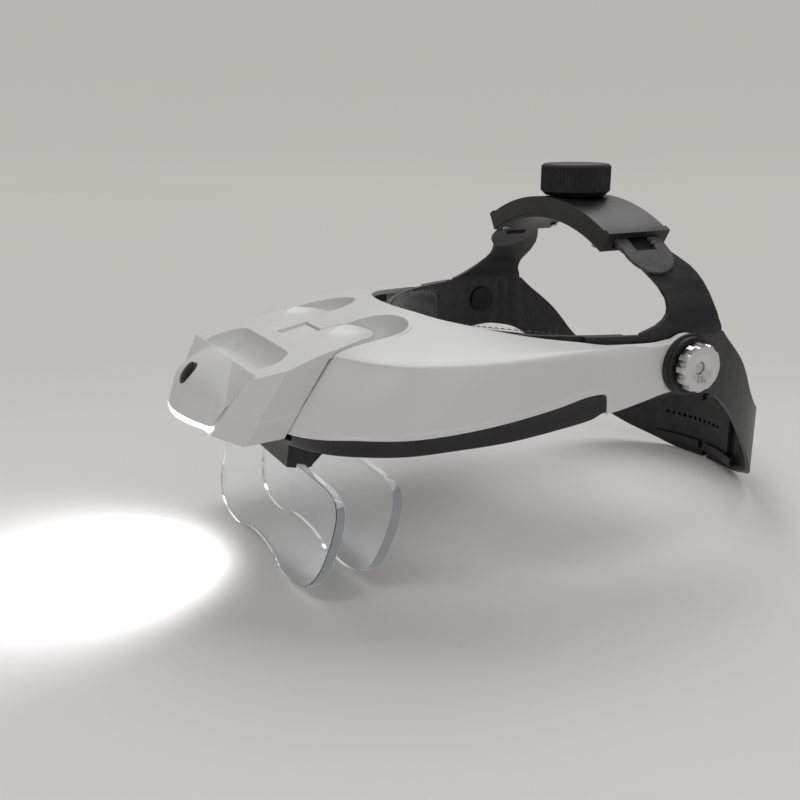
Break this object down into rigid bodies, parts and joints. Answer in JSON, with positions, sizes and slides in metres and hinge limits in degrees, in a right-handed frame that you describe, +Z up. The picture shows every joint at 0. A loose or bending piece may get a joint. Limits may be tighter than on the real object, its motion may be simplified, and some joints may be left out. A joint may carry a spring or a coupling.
{
  "type": "lighted headband magnifier",
  "caption": "Head harness with a tilting visor, a battery lamp on its nose and two clear magnifying lens plates that flip out of the way below it.",
  "frame": {"origin": "centre of the bounding box in plan, on the table it stands on", "axes": "front is -Y, up is +Z, the wearer's left is +X"},
  "size_m": [0.1804, 0.2863, 0.154],
  "materials": {
    "harness_plastic": "fine satin moulded black",
    "tongue_plastic": "satin moulded dark grey",
    "pad_fabric": "soft brushed black",
    "rivet_plastic": "smooth black",
    "knob_plastic": "ribbed satin black",
    "steel": "plain turned steel",
    "friction_plastic": "smooth satin black",
    "bright_metal": "polished bright",
    "brass": "plain",
    "white_plastic": "satin moulded white",
    "liner_foam": "soft grey",
    "trim_plastic": "semi-gloss black",
    "tray_plastic": "moulded white",
    "cell_wrap": "plain printed sleeve, no marks",
    "contact_metal": "bright strip",
    "clear_acrylic": "polished clear",
    "window_clear": "clear, lit from behind",
    "reflector_metal": "bright metallised",
    "board": "white coated board",
    "led_glow": "clear dome over yellow"
  },
  "bodies": {
    "headband": {"side_plate_left": "harness_plastic", "side_plate_right": "harness_plastic", "forehead_band": "harness_plastic", "forehead_pad": "pad_fabric", "band_rivets": "rivet_plastic", "crown_channel": "harness_plastic", "crown_cover": "harness_plastic", "crown_cover_screws": "steel", "nape_clip": "harness_plastic", "nape_rivets": "rivet_plastic", "pivot_stud_left": "steel", "pivot_stud_right": "steel"},
    "crown_adjuster": {"crown_knob": "knob_plastic", "crown_pinion": "brass", "crown_knob_screw": "steel"},
    "left_strap_end": {"strap_tongue_left": "tongue_plastic"},
    "right_strap_end": {"strap_tongue_right": "tongue_plastic"},
    "nape_size": {"nape_tongue": "tongue_plastic"},
    "clamp_left": {"thumb_knob_left": "bright_metal"},
    "clamp_right": {"thumb_knob_right": "bright_metal"},
    "visor": {"visor_shell": "white_plastic", "visor_liner": "liner_foam", "lower_trim": "trim_plastic", "trim_screws": "steel", "battery_tray": "tray_plastic", "battery_cells": "cell_wrap", "cell_contacts": "contact_metal", "hinge_block": "trim_plastic", "hinge_block_screws": "steel", "hinge_pin": "steel", "friction_disc_left": "friction_plastic", "friction_disc_right": "friction_plastic", "spring_washer_left": "steel", "spring_washer_right": "steel"},
    "lamp": {"lamp_hood": "white_plastic", "lamp_head": "white_plastic", "lamp_head_screws": "steel", "lamp_window": "window_clear", "reflector": "reflector_metal", "led_board": "board", "leds": "led_glow", "switch_body": "knob_plastic", "lamp_contacts": "contact_metal"},
    "switch": {"switch_button": "knob_plastic"},
    "front_lens_unit": {"lens_holder": "trim_plastic", "front_lens": "clear_acrylic"},
    "rear_lens_unit": {"rear_lens": "clear_acrylic"}
  },
  "joints": [
    {"name": "visor_tilt", "type": "hinge", "parent": "headband", "child": "visor", "pos_m": [0, 0.0427, 0.0805], "axis": [-1, 0, 0], "range_deg": [0, 55]},
    {"name": "clamp_turn_left", "type": "hinge", "parent": "headband", "child": "clamp_left", "pos_m": [0.089, 0.0427, 0.0805], "axis": [1, 0, 0], "continuous": true},
    {"name": "clamp_turn_right", "type": "hinge", "parent": "headband", "child": "clamp_right", "pos_m": [-0.089, 0.0427, 0.0805], "axis": [-1, 0, 0], "continuous": true},
    {"name": "crown_turn", "type": "hinge", "parent": "headband", "child": "crown_adjuster", "pos_m": [0, 0.0449, 0.147], "axis": [0, 0, 1], "range_deg": [-95, 95]},
    {"name": "left_strap_size", "type": "hinge", "parent": "headband", "child": "left_strap_end", "pos_m": [0, 0.0449, 0.049], "axis": [0, 1, 0], "range_deg": [-6, 6]},
    {"name": "right_strap_size", "type": "hinge", "parent": "headband", "child": "right_strap_end", "pos_m": [0, 0.0449, 0.049], "axis": [0, 1, 0], "range_deg": [-6, 6]},
    {"name": "nape_size_slide", "type": "hinge", "parent": "headband", "child": "nape_size", "pos_m": [0, 0.0758, 0.02], "axis": [0, 0, 1], "range_deg": [-6, 6]},
    {"name": "lamp_slide", "type": "slide", "parent": "visor", "child": "lamp", "axis": [0, -1, 0], "range_m": [0, 0.017]},
    {"name": "switch_press", "type": "slide", "parent": "lamp", "child": "switch", "axis": [0, 0.8192, -0.5736], "range_m": [0, 0.0012], "stiffness_N_per_m": 500, "springref_m": -0.0006},
    {"name": "front_lens_flip", "type": "hinge", "parent": "visor", "child": "front_lens_unit", "pos_m": [0, -0.0911, 0.049], "axis": [-1, 0, 0], "range_deg": [0, 42]},
    {"name": "rear_lens_flip", "type": "hinge", "parent": "visor", "child": "rear_lens_unit", "pos_m": [0, -0.0911, 0.049], "axis": [1, 0, 0], "range_deg": [0, 50]}
  ],
  "couplings": [
    {"joint": "right_strap_size", "follows": "crown_turn", "ratio": -0.05849},
    {"joint": "left_strap_size", "follows": "crown_turn", "ratio": 0.06098}
  ]
}
